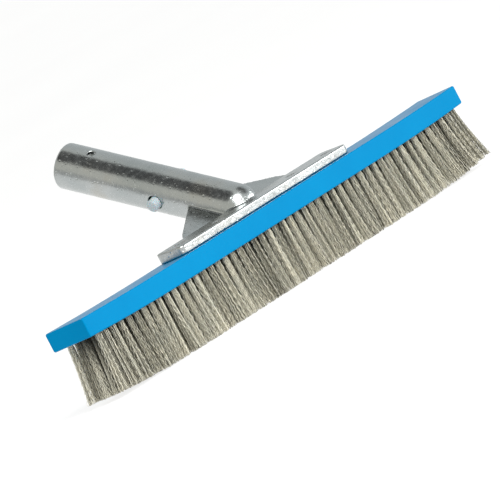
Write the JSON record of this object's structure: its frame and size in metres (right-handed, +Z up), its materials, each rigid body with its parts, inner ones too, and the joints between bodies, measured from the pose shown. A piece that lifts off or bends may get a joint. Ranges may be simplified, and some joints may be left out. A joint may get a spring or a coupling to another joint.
{
  "type": "pool wall brush",
  "caption": "Long swimming-pool brush head: blue plastic block with rows of crimped steel wire tufts, cast handle with a slanted pole socket and a spring clip with snap buttons.",
  "frame": {"origin": "on the plane of the bristle tips, under the middle of the block", "axes": "+X along the block, +Y backwards to the socket's open end, +Z up from the bristle tips to the block"},
  "size_m": [0.4664, 0.1573, 0.1499],
  "materials": {
    "block_plastic": "bright blue moulded plastic, semi-gloss with fine moulding texture",
    "bristle_wire": "crimped stainless wire, warm grey",
    "anchor_wire": "flat anchor wire, bright",
    "cast_metal": "tumbled and polished die casting with fine pits",
    "screw_steel": "stainless, satin",
    "clip_steel": "spring steel strip, satin",
    "nylon": "pale bluish-white nylon, slightly translucent"
  },
  "bodies": {
    "brush": {"brush_block": "block_plastic", "tuft_row_1": "bristle_wire", "tuft_row_2": "bristle_wire", "tuft_row_3": "bristle_wire", "tuft_row_4": "bristle_wire", "tuft_row_5": "bristle_wire", "anchor_wire_1": "anchor_wire", "anchor_wire_2": "anchor_wire", "anchor_wire_3": "anchor_wire", "anchor_wire_4": "anchor_wire", "anchor_wire_5": "anchor_wire", "handle_casting": "cast_metal", "plate_screw_1": "screw_steel", "plate_screw_2": "screw_steel", "plate_screw_3": "screw_steel", "plate_screw_4": "screw_steel", "clip_bend": "clip_steel"},
    "left_clip_arm": {"clip_leg_left": "clip_steel", "snap_button_left": "nylon"},
    "right_clip_arm": {"clip_leg_right": "clip_steel", "snap_button_right": "nylon"}
  },
  "joints": [
    {"name": "left_button_press", "type": "hinge", "parent": "brush", "child": "left_clip_arm", "pos_m": [-0.00388, 0.03085, 0.07242], "axis": [0.2419, 0.517, -0.8211], "range_deg": [0, 7], "stiffness_Nm_per_rad": 3},
    {"name": "right_button_press", "type": "hinge", "parent": "brush", "child": "right_clip_arm", "pos_m": [0.00388, 0.02982, 0.07406], "axis": [-0.2419, -0.517, 0.8211], "range_deg": [0, 7], "stiffness_Nm_per_rad": 3}
  ]
}
